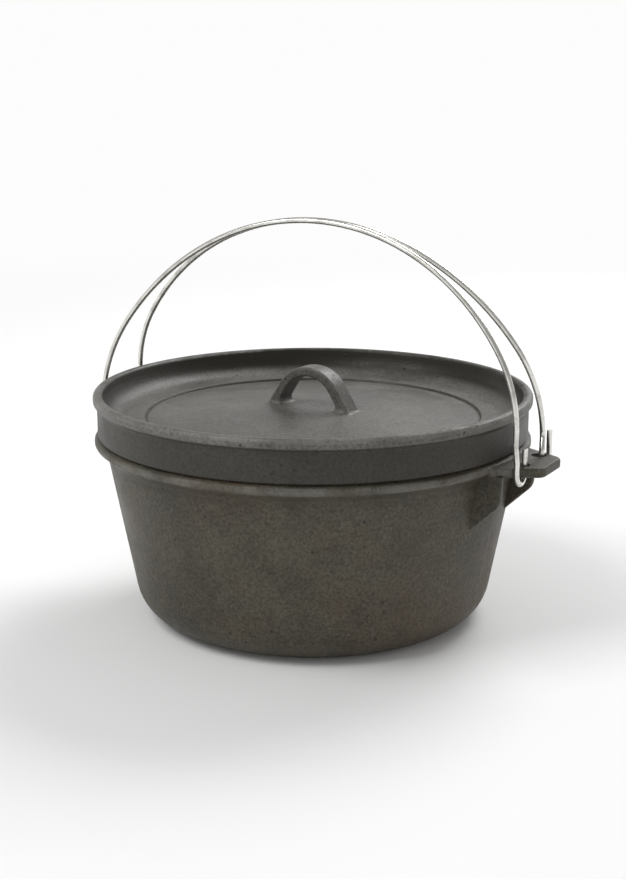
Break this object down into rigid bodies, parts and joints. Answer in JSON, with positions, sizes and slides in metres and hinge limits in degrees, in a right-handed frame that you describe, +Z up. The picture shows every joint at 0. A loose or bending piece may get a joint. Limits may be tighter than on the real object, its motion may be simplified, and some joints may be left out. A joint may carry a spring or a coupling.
{
  "type": "cast iron dutch oven",
  "caption": "Round flat-bottomed cast iron pot with a dished lid, a strap handle on the lid, an ear on each side and wire bails for hanging.",
  "frame": {"origin": "middle of the flat underside of the base, at the bottom centre of the whole oven", "axes": "+Z up; +X out through one ear, along the longest side; -Y is the front, so the front bail folds down towards -Y"},
  "size_m": [0.375, 0.32, 0.291],
  "materials": {
    "pot_iron": "seasoned as-cast iron with a fine sand texture",
    "lid_iron": "seasoned as-cast iron, slightly smoother and lighter",
    "bail_wire": "bright drawn steel wire"
  },
  "bodies": {
    "pot": {"pot_body": "pot_iron"},
    "lid": {"lid": "lid_iron", "lid_handle": "lid_iron"},
    "bail_front": {"front_bail": "bail_wire"},
    "bail_rear": {"rear_bail": "bail_wire"}
  },
  "joints": [
    {"name": "lid_lift", "type": "slide", "parent": "pot", "child": "lid", "axis": [0, 0, 1], "range_m": [0, 0.022]},
    {"name": "bail_front_fold", "type": "hinge", "parent": "pot", "child": "bail_front", "pos_m": [0, -0.02267, 0.1312], "axis": [1, 0, 0], "range_deg": [0, 140]},
    {"name": "bail_rear_fold", "type": "hinge", "parent": "pot", "child": "bail_rear", "pos_m": [0, 0.02267, 0.1312], "axis": [-1, 0, 0], "range_deg": [0, 140]}
  ]
}
